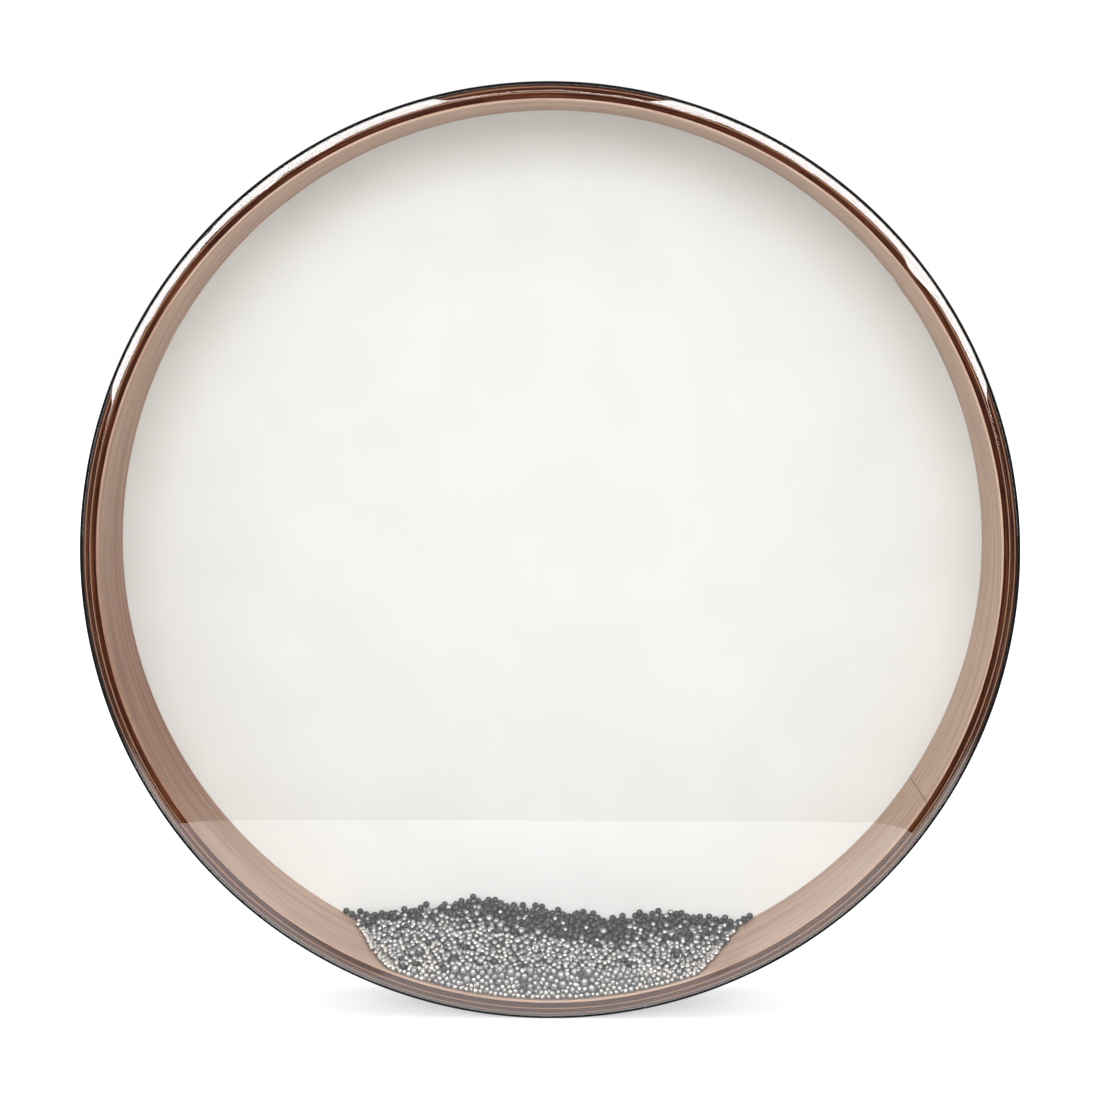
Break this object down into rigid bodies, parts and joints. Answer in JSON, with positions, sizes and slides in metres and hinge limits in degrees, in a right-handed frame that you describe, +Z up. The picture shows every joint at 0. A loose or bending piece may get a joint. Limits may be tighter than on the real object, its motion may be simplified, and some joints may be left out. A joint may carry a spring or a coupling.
{
  "type": "ocean drum",
  "caption": "Shallow bent-wood hand drum with a clear head, an opaque head and loose steel beads that roll inside to sound like surf.",
  "frame": {"origin": "middle of the drum, on its axis and half way between its two heads", "axes": "+Y along the drum's axis from the clear head to the opaque head, +Z up with the beads at rest at the bottom, +X to the right as the clear head is seen"},
  "size_m": [0.4064, 0.0658, 0.4064],
  "materials": {
    "stained_ply": "walnut stain, sealed",
    "pale_veneer": "unstained, fine sanded",
    "clear_film": "clear drawn polyester film",
    "coated_film": "opaque cream coating",
    "black_band": "satin black",
    "bead_steel": "polished steel",
    "dark_steel": "blackened steel, satin"
  },
  "bodies": {
    "drum": {"outer_ply": "stained_ply", "second_ply": "stained_ply", "third_ply": "stained_ply", "inner_ply": "pale_veneer", "front_head": "clear_film", "back_head": "coated_film", "edge_band": "black_band"},
    "bead_bed": {"front_dark_beads": "dark_steel", "front_small_beads": "bead_steel", "front_medium_beads": "bead_steel", "front_large_beads": "bead_steel", "bed_dark_beads": "dark_steel", "bed_small_beads": "bead_steel", "bed_medium_beads": "bead_steel", "bed_large_beads": "bead_steel"},
    "bead_wave": {"wave_dark_beads": "dark_steel", "wave_small_beads": "bead_steel", "wave_medium_beads": "bead_steel", "wave_large_beads": "bead_steel"}
  },
  "joints": [
    {"name": "bed_swing", "type": "hinge", "parent": "drum", "child": "bead_bed", "pos_m": [0, 0, 0], "axis": [0, 1, 0], "continuous": true},
    {"name": "wave_run", "type": "slide", "parent": "bead_bed", "child": "bead_wave", "axis": [0, 0, 1], "range_m": [0, 0.33]}
  ]
}
